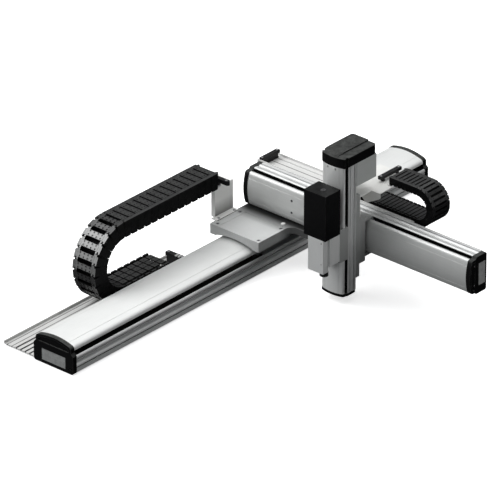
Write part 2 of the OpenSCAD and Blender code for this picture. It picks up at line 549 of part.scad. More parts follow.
base_extrusion();
base_cover();
base_near_cap();
base_far_cap();
base_end_plates();
base_feet();
x_rails();
x_bearings();
x_motor();
x_tray();
x_strain_bar();
x_chain_lower();
x_screw();
x_coupling();
x_chain_loop();
x_saddle();
x_trucks();
x_nut();
carriage_plate();
plate_screws();
x_chain_bracket();
x_chain_bar();
x_chain_upper();
beam_extrusion();
beam_cover();
beam_inner_cap();
beam_outer_cap();
beam_end_plates();
y_rails();
y_bearings();
y_motor();
y_tray();
y_strain_bar();
y_chain_lower();
y_screw();
y_chain_loop();
y_saddle();
y_trucks();
y_nut();
y_adapter();
y_chain_bracket();
y_chain_bar();
y_chain_upper();
column_extrusion();
column_cover();
column_top_cap();
column_bottom_cap();
z_rails();
z_motor();
z_motor_cover();
z_belt();
z_screw();
z_motor_pulley();
z_saddle();
z_trucks();
z_nut();
head_housing();
head_motor();
head_motor_cover();
spindle();
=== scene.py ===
"""Looks for the three-axis cartesian robot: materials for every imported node, drag chains built link by link, and small fasteners."""
import json
import math

import bpy
import bmesh
from mathutils import Matrix, Vector


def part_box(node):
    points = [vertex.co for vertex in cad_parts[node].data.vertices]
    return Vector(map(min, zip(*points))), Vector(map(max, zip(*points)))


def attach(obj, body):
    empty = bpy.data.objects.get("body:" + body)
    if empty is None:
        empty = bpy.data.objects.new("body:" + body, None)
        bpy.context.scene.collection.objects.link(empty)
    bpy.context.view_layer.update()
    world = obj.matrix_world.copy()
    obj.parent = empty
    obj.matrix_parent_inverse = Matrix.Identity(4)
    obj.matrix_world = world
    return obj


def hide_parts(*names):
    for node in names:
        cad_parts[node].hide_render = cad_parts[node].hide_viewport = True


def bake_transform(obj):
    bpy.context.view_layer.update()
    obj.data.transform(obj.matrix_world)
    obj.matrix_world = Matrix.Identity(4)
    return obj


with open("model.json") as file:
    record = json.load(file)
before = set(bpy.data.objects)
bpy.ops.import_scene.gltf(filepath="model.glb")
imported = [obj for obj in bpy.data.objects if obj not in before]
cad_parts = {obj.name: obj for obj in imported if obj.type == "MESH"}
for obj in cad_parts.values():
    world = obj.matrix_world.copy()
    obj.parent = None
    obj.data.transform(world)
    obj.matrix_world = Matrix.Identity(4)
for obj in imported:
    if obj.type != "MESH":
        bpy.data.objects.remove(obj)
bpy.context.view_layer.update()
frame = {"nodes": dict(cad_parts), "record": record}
N = frame["nodes"]
scene = bpy.context.scene
MM = 0.001

# ------------------------------------------------------------------ camera
AZ, EL, DIST = math.radians(-48.7), math.radians(28.0), 18.0
TARGET = Vector((0.058, 0.0, 0.037))
back = Vector((math.sin(AZ) * math.cos(EL), -math.cos(AZ) * math.cos(EL), math.sin(EL)))
cam_data = bpy.data.cameras.new("Camera")
cam_data.sensor_width = 36.0
cam_data.lens = 6696.0 * 36.0 / 500.0
cam_data.clip_start = 1.0
cam_data.clip_end = 80.0
cam = bpy.data.objects.new("Camera", cam_data)
cam.location = TARGET + DIST * back
cam.rotation_euler = (math.radians(90) - EL, 0.0, AZ)
scene.collection.objects.link(cam)
scene.camera = cam

# ------------------------------------------------------------------ light
world = bpy.data.worlds.new("studio")
scene.world = world
world.use_nodes = True
wn = world.node_tree
bg = wn.nodes["Background"]
# soft studio surround: brighter above and behind on the left, dark at the right front
wtc = wn.nodes.new("ShaderNodeTexCoord")
wdot = wn.nodes.new("ShaderNodeVectorMath")
wdot.operation = "DOT_PRODUCT"
wdot.inputs[1].default_value = (-0.62, 0.50, 0.60)
wn.links.new(wtc.outputs["Generated"], wdot.inputs[0])
wmap = wn.nodes.new("ShaderNodeMapRange")
wmap.inputs["From Min"].default_value = -0.45
wmap.inputs["From Max"].default_value = 1.0
wmap.inputs["To Min"].default_value = 0.012
wmap.inputs["To Max"].default_value = 0.46
wn.links.new(wdot.outputs["Value"], wmap.inputs["Value"])
wn.links.new(wmap.outputs["Result"], bg.inputs["Strength"])
bg.inputs["Color"].default_value = (0.97, 0.985, 1.0, 1.0)


def softbox(name, direction, dist, size, energy, color=(1, 1, 1)):
    data = bpy.data.lights.new(name, "AREA")
    data.shape = "RECTANGLE"
    data.size, data.size_y = size
    data.energy = energy
    data.color = color
    ob = bpy.data.objects.new(name, data)
    d = Vector(direction).normalized()
    ob.location = Vector((0.05, -0.1, 0.15)) + d * dist
    ob.rotation_euler = d.to_track_quat("Z", "Y").to_euler()
    scene.collection.objects.link(ob)
    return ob


softbox("top_light", (0.22, 0.22, 1.0), 3.2, (3.3, 3.3), 72)
softbox("left_light", (-0.46, 0.60, 0.64), 3.2, (2.1, 2.6), 66)
softbox("right_fill", (0.35, -1.0, 0.45), 4.0, (2.6, 1.8), 42)

scene.view_settings.view_transform = "Standard"


# ------------------------------------------------------------------ materials
def new_mat(name):
    m = bpy.data.materials.new(name)
    m.use_nodes = True
    nt = m.node_tree
    return m, nt, nt.nodes["Principled BSDF"]


def link(nt, a, b):
    nt.links.new(a, b)


def noise(nt, vec, scale, detail=3.0, rough=0.55, stretch=None, loc=(0, 0, 0)):
    mp = nt.nodes.new("ShaderNodeMapping")
    mp.inputs["Location"].default_value = loc
    if stretch:
        mp.inputs["Scale"].default_value = stretch
    link(nt, vec, mp.inputs["Vector"])
    n = nt.nodes.new("ShaderNodeTexNoise")
    n.inputs["Scale"].default_value = scale
    n.inputs["Detail"].default_value = detail
    n.inputs["Roughness"].default_value = rough
    link(nt, mp.outputs["Vector"], n.inputs["Vector"])
    return n.outputs["Fac"]


def remap(nt, val, a, b, lo, hi):
    r = nt.nodes.new("ShaderNodeMapRange")
    r.inputs["From Min"].default_value = a
    r.inputs["From Max"].default_value = b
    r.inputs["To Min"].default_value = lo
    r.inputs["To Max"].default_value = hi
    link(nt, val, r.inputs["Value"])
    return r.outputs["Result"]


def mixc(nt, fac, a, b):
    m = nt.nodes.new("ShaderNodeMix")
    m.data_type = "RGBA"
    link(nt, fac, m.inputs["Factor"])
    for sock, v in ((m.inputs[6], a), (m.inputs[7], b)):
        if isinstance(v, tuple):
            sock.default_value = (*v, 1.0)
        else:
            link(nt, v, sock)
    return m.outputs[2]


def math_node(nt, op, a, b):
    m = nt.nodes.new("ShaderNodeMath")
    m.operation = op
    for sock, v in ((m.inputs[0], a), (m.inputs[1], b)):
        if isinstance(v, (int, float)):
            sock.default_value = v
        else:
            link(nt, v, sock)
    return m.outputs[0]


def surface(name, dark, light, metallic, rough, rough_var=0.08, grain=None, grain_scale=60.0, mottle=14.0,
            bump=0.10, bump_mm=0.05, bevel=0.7, wear=0.0, wear_color=(0.8, 0.8, 0.8), spec=0.5, coat=0.0, coat_rough=0.2,
            dust_and_top_sheen=0.0, dust_and_sheen_color=(0.55, 0.55, 0.54), inside=None, under=None, lines=None, painted_side_light=None, shade=None):
    """Principled surface: two-tone mottling and a directional grain, roughness variation, rounded and worn edges.
    inside = (axis across, centre, half width, axis up, sign, level): painted shade, near black, where a surface lies
    inside the hollow module.
    under = (axis, sign): painted shade, near black, on faces that point into the module.
    lines = (axis, origin, period, half width): thin dark lines at even spacing, painted shade for grooves that are not
    modelled.
    painted_side_light = (direction, from, to, colour): painted light, a lighter tone on faces turned that way, towards
    a lamp.
    shade = (axis, from, to, least): painted shade, the tone falls to least of itself along an axis, where a neighbour
    stands over the surface."""
    m, nt, b = new_mat(name)
    tc = nt.nodes.new("ShaderNodeTexCoord")
    obj = tc.outputs["Object"]
    st = {"X": (0.03, 1, 1), "Y": (1, 0.03, 1), "Z": (1, 1, 0.03)}.get(grain)
    g = noise(nt, obj, grain_scale * 9, 4.0, 0.6, st) if grain else noise(nt, obj, grain_scale * 12, 3.0, 0.6)
    mo = noise(nt, obj, mottle, 4.0, 0.6, None, (3.1, 1.7, 0.4))
    tone = math_node(nt, "ADD", math_node(nt, "MULTIPLY", g, 0.45), math_node(nt, "MULTIPLY", mo, 0.55))
    col = mixc(nt, remap(nt, tone, 0.30, 0.70, 0.0, 1.0), dark, light)
    be = nt.nodes.new("ShaderNodeBevel")
    be.samples = 4
    be.inputs["Radius"].default_value = bevel * MM
    if wear > 0:
        geo = nt.nodes.new("ShaderNodeNewGeometry")
        wide = nt.nodes.new("ShaderNodeBevel")
        wide.samples = 4
        wide.inputs["Radius"].default_value = bevel * 1.6 * MM
        dp = nt.nodes.new("ShaderNodeVectorMath")
        dp.operation = "DOT_PRODUCT"
        link(nt, wide.outputs["Normal"], dp.inputs[0])
        link(nt, geo.outputs["Normal"], dp.inputs[1])
        edge = remap(nt, dp.outputs["Value"], 0.985, 0.86, 0.0, 1.0)
        wn_ = noise(nt, obj, 90.0, 4.0, 0.65, None, (0.3, 5.0, 2.0))
        edge = math_node(nt, "MULTIPLY", edge, remap(nt, wn_, 0.35, 0.62, 0.25, 1.0))
        col = mixc(nt, math_node(nt, "MULTIPLY", edge, wear), col, wear_color)
    # dust mixed with painted highlight: a lighter noisy tone on faces that look up
    if dust_and_top_sheen > 0:
        geo2 = nt.nodes.new("ShaderNodeNewGeometry")
        sep = nt.nodes.new("ShaderNodeSeparateXYZ")
        link(nt, geo2.outputs["Normal"], sep.inputs[0])
        up = remap(nt, sep.outputs["Z"], 0.2, 1.0, 0.0, 1.0)
        dn = noise(nt, obj, 55.0, 5.0, 0.7, None, (7.0, 2.0, 1.0))
        col = mixc(nt, math_node(nt, "MULTIPLY", math_node(nt, "MULTIPLY", up, remap(nt, dn, 0.3, 0.7, 0.2, 1.0)), dust_and_top_sheen), col, dust_and_sheen_color)
    # painted shade: thin dark lines where unmodelled grooves would lie in shade
    if lines:
        sl_ = nt.nodes.new("ShaderNodeSeparateXYZ")
        link(nt, obj, sl_.inputs[0])
        ph = math_node(nt, "ADD", math_node(nt, "DIVIDE", math_node(nt, "SUBTRACT", sl_.outputs[lines[0]], lines[1]), lines[2]), 0.5)
        ph = math_node(nt, "ABSOLUTE", math_node(nt, "SUBTRACT", math_node(nt, "FRACT", ph, 0.0), 0.5), 0.0)
        col = mixc(nt, remap(nt, ph, lines[3] / lines[2], 0.8 * lines[3] / lines[2], 0.0, 0.9), col, (0.05, 0.05, 0.05))
    # painted light: faces turned towards a lamp get a lighter tone
    if painted_side_light:
        geo4 = nt.nodes.new("ShaderNodeNewGeometry")
        sf = nt.nodes.new("ShaderNodeVectorMath")
        sf.operation = "DOT_PRODUCT"
        sf.inputs[1].default_value = painted_side_light[0]
        link(nt, geo4.outputs["Normal"], sf.inputs[0])
        side_light_fac = remap(nt, sf.outputs["Value"], painted_side_light[1], painted_side_light[2], 0.0, 1.0)
        side_light_fac = math_node(nt, "MULTIPLY", side_light_fac, remap(nt, noise(nt, obj, 70.0, 4.0, 0.65, None, (1.0, 4.0, 2.5)), 0.3, 0.7, 0.75, 1.0))
        col = mixc(nt, side_light_fac, col, painted_side_light[3])
    # painted shade: the tone darkens along an axis near a neighbouring part; with painted_side_light it falls only on
    # the faces that one lights
    if shade:
        sh = nt.nodes.new("ShaderNodeSeparateXYZ")
        link(nt, obj, sh.inputs[0])
        fs = remap(nt, sh.outputs[shade[0]], shade[1], shade[2], 0.0, 1.0 - shade[3])
        if painted_side_light:
            fs = math_node(nt, "MULTIPLY", fs, remap(nt, sf.outputs["Value"], painted_side_light[1], painted_side_light[2], 0.0, 1.0))
        col = mixc(nt, fs, col, (0.004, 0.004, 0.004))
    spec_out = None
    # painted shade: near-black tone, low specular and no metal inside the hollow module and on faces turned into it
    if inside or under:
        sx = nt.nodes.new("ShaderNodeSeparateXYZ")
        if inside:
            ac, cen, half, up_ax, sgn, lev = inside
            link(nt, obj, sx.inputs[0])
            off = math_node(nt, "ABSOLUTE", math_node(nt, "SUBTRACT", sx.outputs[ac], cen), 0.0)
            within = math_node(nt, "LESS_THAN", off, half)
            above = math_node(nt, "GREATER_THAN", math_node(nt, "MULTIPLY", sx.outputs[up_ax], sgn), lev)
            painted_shade_fac = math_node(nt, "MULTIPLY", within, above)
        else:
            geo3 = nt.nodes.new("ShaderNodeNewGeometry")
            link(nt, geo3.outputs["Normal"], sx.inputs[0])
            painted_shade_fac = math_node(nt, "LESS_THAN", math_node(nt, "MULTIPLY", sx.outputs[under[0]], under[1]), -0.2)
        col = mixc(nt, painted_shade_fac, col, (0.006, 0.006, 0.006))
        spec_out = remap(nt, painted_shade_fac, 0.0, 1.0, spec, 0.05)
        link(nt, remap(nt, painted_shade_fac, 0.0, 1.0, metallic, 0.0), b.inputs["Metallic"])
    link(nt, col, b.inputs["Base Color"])
    if spec_out is None:
        b.inputs["Metallic"].default_value = metallic
        b.inputs["Specular IOR Level"].default_value = spec
    else:
        link(nt, spec_out, b.inputs["Specular IOR Level"])
    b.inputs["Coat Weight"].default_value = coat
    b.inputs["Coat Roughness"].default_value = coat_rough
    link(nt, remap(nt, tone, 0.30, 0.70, rough - rough_var, rough + rough_var), b.inputs["Roughness"])
    bp = nt.nodes.new("ShaderNodeBump")
    bp.inputs["Strength"].default_value = bump
    bp.inputs["Distance"].default_value = bump_mm * MM
    link(nt, g, bp.inputs["Height"])
    link(nt, be.outputs["Normal"], bp.inputs["Normal"])
    link(nt, bp.outputs["Normal"], b.inputs["Normal"])
    return m


M = {}
# painted shade inside each module's hollow section: (axis across, centre, half width, axis up, sign, level) in metres
INSIDE_SHADE = {"X": (1, 0.0, 0.0665, 2, 1.0, 0.009), "Y": (2, 0.169, 0.0523, 0, -1.0, -0.192), "Z": (1, -0.308, 0.0399, 0, -1.0, -0.083)}
UNDER_SHADE = {"X": (2, 1.0), "Y": (0, -1.0), "Z": (0, -1.0)}
# painted light: the three covers are one finish, given a tone and metal level per module that set how bright each
# module's cover looks
PAINTED_LIGHT_TONE = {"X": (0.76, 0.83), "Y": (0.60, 0.68), "Z": (0.82, 0.90)}
METAL = {"X": 0.12, "Y": 0.42, "Z": 0.42}
for ax in "XYZ":
    lo_, hi_ = PAINTED_LIGHT_TONE[ax]
    M["extrusion" + ax] = surface("anodised_extrusion_" + ax, (0.65, 0.66, 0.66), (0.75, 0.76, 0.755), 0.35, 0.38, 0.07, grain=ax, bump=0.25, wear=0.35, wear_color=(0.8, 0.8, 0.8), inside=INSIDE_SHADE[ax])
    M["cover" + ax] = surface("satin_cover_" + ax, (lo_, lo_ + 0.01, lo_), (hi_, hi_ + 0.01, hi_), METAL[ax], 0.39, 0.05, grain=ax, bump=0.18, wear=0.25, wear_color=(0.9, 0.9, 0.9), under=UNDER_SHADE[ax])
    M["rail" + ax] = surface("ground_rail_" + ax, (0.20, 0.20, 0.21), (0.30, 0.30, 0.31), 1.0, 0.28, 0.08, grain=ax, bump=0.3, bevel=0.4)
# the cap's lighter top is partly dust and partly painted highlight
M["end_cap"] = surface("moulded_cap", (0.003, 0.003, 0.0033), (0.006, 0.006, 0.0063), 0.0, 0.36, 0.07, grain_scale=30, bump=0.35, bump_mm=0.08, wear=0.9, wear_color=(0.13, 0.135, 0.13), spec=0.06, bevel=1.0, dust_and_top_sheen=0.9, dust_and_sheen_color=(0.085, 0.088, 0.085))
M["end_plate"] = surface("brushed_plate", (0.28, 0.285, 0.28), (0.50, 0.51, 0.505), 0.20, 0.34, 0.08, grain="Y", mottle=90.0, bump=0.35, wear=0.3)
M["machined"] = surface("machined_alloy", (0.50, 0.51, 0.52), (0.60, 0.61, 0.62), 0.9, 0.34, 0.08, grain="X", bump=0.3, wear=0.4)
M["bearing_block"] = surface("black_oxide_block", (0.05, 0.05, 0.055), (0.08, 0.08, 0.085), 0.6, 0.42, 0.08, wear=0.4, wear_color=(0.3, 0.3, 0.3))
M["motor"] = surface("motor_black", (0.018, 0.018, 0.02), (0.03, 0.03, 0.032), 0.2, 0.42, 0.08, wear=0.4, wear_color=(0.25, 0.25, 0.25))
TRAY = dict(grain_scale=40, bump=0.4, bump_mm=0.06, wear=0.25, wear_color=(0.30, 0.30, 0.30), bevel=1.0)
M["tray"] = surface("powder_coat_tray", (0.52, 0.52, 0.51), (0.60, 0.60, 0.59), 0.0, 0.48, 0.06, **TRAY)
# the trays carry painted shade lines for their grooves
M["tray_x"] = surface("powder_coat_tray_x", (0.55, 0.55, 0.54), (0.63, 0.63, 0.62), 0.0, 0.48, 0.06, lines=(1, 0.0885, 0.016, 0.0016), **TRAY)
M["tray_y"] = surface("powder_coat_tray_y", (0.64, 0.64, 0.63), (0.72, 0.72, 0.71), 0.0, 0.48, 0.06, lines=(0, 0.2225, 0.021, 0.0016), **TRAY)
# the bar's lighter top is partly dust and partly painted highlight
M["black_bar"] = surface("moulded_bar", (0.004, 0.004, 0.0045), (0.009, 0.009, 0.0095), 0.0, 0.36, 0.08, grain_scale=30, bump=0.4, bump_mm=0.08, wear=0.4, wear_color=(0.08, 0.08, 0.08), spec=0.2, dust_and_top_sheen=0.4, dust_and_sheen_color=(0.04, 0.04, 0.04))
M["slider"] = surface("slider_anodised", (0.36, 0.37, 0.365), (0.44, 0.45, 0.445), 0.30, 0.38, 0.07, grain="Z", bump=0.25, wear=0.45, wear_color=(0.6, 0.6, 0.6))
# painted shadow: the plate top darkens towards the beam's foot
M["cast_plate"] = surface("blasted_plate_painted_shadow", (0.56, 0.57, 0.565), (0.64, 0.65, 0.645), 0.15, 0.46, 0.06, grain_scale=50, bump=0.45, bump_mm=0.05, wear=0.45, wear_color=(0.85, 0.85, 0.84), bevel=1.2, shade=(0, 0.080, 0.131, 0.05))
M["screw"] = surface("zinc_screw", (0.20, 0.20, 0.21), (0.34, 0.34, 0.35), 0.9, 0.34, 0.1, grain_scale=80, wear=0.4, bevel=0.3)
M["bright_screw"] = surface("bright_screw", (0.42, 0.42, 0.43), (0.62, 0.62, 0.63), 0.9, 0.30, 0.1, grain_scale=80, wear=0.4, bevel=0.3)
M["bracket"] = surface("powder_coat_bracket", (0.78, 0.78, 0.755), (0.86, 0.86, 0.835), 0.0, 0.42, 0.05, grain_scale=45, bump=0.35, bump_mm=0.05, wear=0.25, wear_color=(0.85, 0.85, 0.84), bevel=0.9)
# painted light and reflection: a lighter copy of the white bracket coat, lighter still on faces towards -Y, and darker
# towards its foot as a painted reflection of the parts below
M["bracket_x_painted_light"] = surface("satin_sheet_bracket_painted_light", (0.90, 0.90, 0.88), (0.96, 0.96, 0.94), 0.0, 0.36, 0.05, grain_scale=45, bump=0.3, bump_mm=0.04, wear=0.2, wear_color=(0.9, 0.9, 0.89), bevel=0.9, painted_side_light=((0.0, -1.0, 0.0), 0.6, 0.9, (0.95, 0.95, 0.93)), shade=(2, 0.160, 0.120, 0.30))
M["motor_cover"] = surface("satin_grey_cover", (0.50, 0.52, 0.51), (0.58, 0.60, 0.59), 0.15, 0.42, 0.06, grain_scale=45, bump=0.35, wear=0.3, wear_color=(0.4, 0.4, 0.4))
M["belt"] = surface("belt_rubber", (0.014, 0.014, 0.014), (0.03, 0.03, 0.03), 0.0, 0.75, 0.08, grain_scale=30, bump=0.6, bump_mm=0.1)
M["housing"] = surface("satin_housing", (0.70, 0.71, 0.705), (0.78, 0.79, 0.785), 0.25, 0.38, 0.06, grain="Z", bump=0.25, wear=0.4, wear_color=(0.85, 0.85, 0.85), bevel=1.0)
# the head cover's lighter top is partly dust and partly painted highlight
M["head_cover"] = surface("black_head_cover", (0.0025, 0.0025, 0.003), (0.005, 0.005, 0.0055), 0.0, 0.38, 0.07, grain_scale=30, bump=0.4, bump_mm=0.07, wear=0.7, wear_color=(0.07, 0.07, 0.07), spec=0.05, bevel=1.2, dust_and_top_sheen=0.6, dust_and_sheen_color=(0.028, 0.029, 0.028))
M["spindle"] = surface("black_oxide_spindle", (0.03, 0.03, 0.032), (0.05, 0.05, 0.052), 0.7, 0.34, 0.08, grain="Z", wear=0.4, wear_color=(0.3, 0.3, 0.3))
CHAIN = dict(grain_scale=22, mottle=60.0, bump=0.45, bump_mm=0.10, wear=0.35, wear_color=(0.08, 0.08, 0.08), spec=0.62, bevel=0.5)
# the chains' lighter tops are partly dust and partly painted highlight
M["chain"] = surface("chain_nylon", (0.004, 0.004, 0.0043), (0.010, 0.010, 0.0105), 0.0, 0.32, 0.07, dust_and_top_sheen=0.35, dust_and_sheen_color=(0.075, 0.078, 0.075), **CHAIN)
M["chain_x"] = surface("chain_nylon_x", (0.003, 0.003, 0.0032), (0.009, 0.009, 0.0093), 0.0, 0.32, 0.07, dust_and_top_sheen=0.45, dust_and_sheen_color=(0.06, 0.062, 0.06), **CHAIN)
# painted highlight: the bend links' faces turned towards the left lamp get a light tone
M["chain_bend"] = surface("chain_nylon_bend_painted_highlight", (0.002, 0.002, 0.0022), (0.006, 0.006, 0.0063), 0.0, 0.30, 0.07, painted_side_light=((-0.82, 0.0, 0.57), 0.82, 0.96, (0.33, 0.333, 0.33)), **CHAIN)
M["cheek"] = surface("chain_cheek", (0.003, 0.003, 0.0032), (0.007, 0.007, 0.0073), 0.0, 0.42, 0.07, grain_scale=22, mottle=60.0, bump=0.45, bump_mm=0.10, wear=0.15, wear_color=(0.03, 0.03, 0.03), spec=0.04, bevel=0.5)
M["button"] = surface("white_button", (0.72, 0.72, 0.71), (0.80, 0.80, 0.79), 0.0, 0.35, 0.05, grain_scale=40, bevel=0.4)

AXIS = {}
for n in ("base_extrusion", "base_cover", "x_rails", "x_screw"):
    AXIS[n] = "X"
for n in ("beam_extrusion", "beam_cover", "y_rails", "y_screw"):
    AXIS[n] = "Y"
for n in ("column_extrusion", "column_cover", "z_rails", "z_screw"):
    AXIS[n] = "Z"
slots = {s["node"]: s["material_slot"] for s in frame["record"]["subparts"]}
for name, ob in N.items():
    s = slots.get(name, "machined")
    key = {"extrusion": "extrusion" + AXIS.get(name, "X"), "cover": "cover" + AXIS.get(name, "X"), "rail_steel": "rail" + AXIS.get(name, "X")}.get(s, s)
    key = {"x_tray": "tray_x", "y_tray": "tray_y", "x_chain_bracket": "bracket_x_painted_light"}.get(name, key)
    mat = M[key]
    if not ob.material_slots:
        ob.data.materials.append(mat)
    for sl in ob.material_slots:
        sl.material = mat


# ------------------------------------------------------------------ mesh helpers
def make(name, bm, mat):
    bmesh.ops.recalc_face_normals(bm, faces=bm.faces)
    me = bpy.data.meshes.new(name)
    bm.to_mesh(me)
    bm.free()
    me.materials.append(M[mat])
    ob = bpy.data.objects.new(name, me)
    scene.collection.objects.link(ob)
    return ob


def basis(axis, roll=Vector((0, 0, 1))):
    """Matrix whose local +Z is axis."""
    z = Vector(axis).normalized()
    x = roll.cross(z)
    if x.length < 1e-4:
        x = Vector((1, 0, 0))
    x.normalize()
    y = z.cross(x)
    return Matrix((x, y, z)).transposed().to_4x4()


def add_screw(bm, at, axis, r, h, hexa=True, n=24):
    """Button or cap head with a bevelled rim and a hexagon recess, standing from at along axis (millimetres)."""
    mt = Matrix.Translation(Vector(at) * MM) @ basis(axis)
    a = r * 0.46

    def hexr(t):
        t = (t + math.pi / 6) % (math.pi / 3) - math.pi / 6
        return a / math.cos(t)

    rings = [(r, 0, 0), (r, h * 0.62, 0), (r * 0.97, h * 0.80, 0), (r * 0.90, h * 0.93, 0), (r * 0.80, h, 0), (1.10, h, 1), (1.0, h * 0.94, 1), (1.0, h * 0.30, 1)]
    prev = None
    for rad, z, k in rings:
        vs = []
        for i in range(n):
            t = 2 * math.pi * i / n
            rr = rad * hexr(t) if k else rad
            vs.append(bm.verts.new(mt @ (Vector((rr * math.cos(t), rr * math.sin(t), z)) * MM)))
        if prev is None:
            bm.faces.new(vs)
        else:
            for i in range(n):
                bm.faces.new((prev[i], prev[(i + 1) % n], vs[(i + 1) % n], vs[i]))
        prev = vs
    bm.faces.new(prev)


def screws(name, body, spots, r, h, mat="bright_screw"):
    bm = bmesh.new()
    for at, axis in spots:
        add_screw(bm, at, axis, r, h)
    ob = make(name, bm, mat)
    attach(ob, body)
    return ob


def prism(bm, pts, w0, w1, bev=0.0):
    """Closed prism: outline pts in (u, v), from w0 to w1, with chamfered rims on the two end faces."""
    n = len(pts)
    cu = sum(p[0] for p in pts) / n
    cv = sum(p[1] for p in pts) / n

    def ring(w, k):
        out = []
        for u, v in pts:
            du, dv = u - cu, v - cv
            ln = math.hypot(du, dv) or 1.0
            f = max(0.0, (ln - k) / ln)
            out.append(bm.verts.new((cu + du * f, w, cv + dv * f)))
        return out

    rings = [ring(w0, bev), ring(w0 + bev, 0), ring(w1 - bev, 0), ring(w1, bev)] if bev > 0 else [ring(w0, 0), ring(w1, 0)]
    for a, b in zip(rings, rings[1:]):
        for i in range(n):
            bm.faces.new((a[i], a[(i + 1) % n], b[(i + 1) % n], b[i]))
    bm.faces.new(rings[0])
    bm.faces.new(rings[-1])


def disc(bm, u, v, w0, w1, r, n=16, inner=0.0):
    """Boss or ring around the link pivot, along w."""
    rr = [(r, w0), (r, w1 - 0.3 * (1 if w1 > w0 else -1)), (r - 0.4, w1)]
    rr += [(inner, w1), (inner, w0)] if inner else []
    prev, first = None, None
    for rad, w in rr:
        vs = [bm.verts.new((u + rad * math.cos(2 * math.pi * i / n), w, v + rad * math.sin(2 * math.pi * i / n))) for i in range(n)]
        if prev:
            for i in range(n):
                bm.faces.new((prev[i], prev[(i + 1) % n], vs[(i + 1) % n], vs[i]))
        else:
            first = vs
        prev = vs
    if inner:
        for i in range(n):
            bm.faces.new((prev[i], prev[(i + 1) % n], first[(i + 1) % n], first[i]))
    else:
        bm.faces.new(first)
        bm.faces.new(prev)


def plate_with_holes(bm, u0, u1, w0, w1, v0, v1, holes, r, n=12):
    """Flat bar in u and w from v0 to v1 (v1 is its outer face) with blind round holes sunk from v1; the rim is chamfered."""
    c = 0.7
    top = v1
    s = 1 if v1 > v0 else -1

    def quad(a, b, cc, d):
        bm.faces.new((a, b, cc, d))

    def loop(k, v):
        return [bm.verts.new(p) for p in ((u0 + k, w0 + k, v), (u1 - k, w0 + k, v), (u1 - k, w1 - k, v), (u0 + k, w1 - k, v))]

    a, b, t = loop(0, v0), loop(0, v1 - c * s), loop(c, top)
    bm.faces.new(a)
    for p, q in ((a, b), (b, t)):
        for i in range(4):
            quad(p[i], p[(i + 1) % 4], q[(i + 1) % 4], q[i])
    # top face: one cell per hole across w, each cell a ring from a rectangle to the hole's circle
    cells = sorted(holes, key=lambda h: (h[1], h[0]))
    rows = sorted({h[1] for h in cells})
    cuts = [w0 + c] + [(rows[i] + rows[i + 1]) / 2 for i in range(len(rows) - 1)] + [w1 - c]
    cols = sorted({h[0] for h in cells})
    ucuts = [u0 + c] + [(cols[i] + cols[i + 1]) / 2 for i in range(len(cols) - 1)] + [u1 - c]
    grid = {}

    def vert(u, w):
        k = (round(u, 4), round(w, 4))
        if k not in grid:
            for q in t:
                if abs(q.co.x - u) < 1e-4 and abs(q.co.y - w) < 1e-4:
                    grid[k] = q
                    break
            else:
                grid[k] = bm.verts.new((u, w, top))
        return grid[k]

    for i in range(len(rows)):
        for j in range(len(cols)):
            ca, cb = ucuts[j], ucuts[j + 1]
            wa, wb = cuts[i], cuts[i + 1]
            hu, hw = cols[j], rows[i]
            corners = [(cb, wb), (ca, wb), (ca, wa), (cb, wa)]
            ringv = [bm.verts.new((hu + r * math.cos(2 * math.pi * k / n + math.pi / 4), hw + r * math.sin(2 * math.pi * k / n + math.pi / 4), top)) for k in range(n)]
            per = n // 4
            for q in range(4):
                cor = vert(*corners[q])
                nxt = vert(*corners[(q + 1) % 4])
                seg = [ringv[(q * per + k) % n] for k in range(per + 1)]
                bm.faces.new([cor] + [nxt] + seg[::-1])
            low = [bm.verts.new((p.co.x, p.co.y, top - 2.2 * s)) for p in ringv]
            for k in range(n):
                bm.faces.new((ringv[k], ringv[(k + 1) % n], low[(k + 1) % n], low[k]))
            bm.faces.new(low)


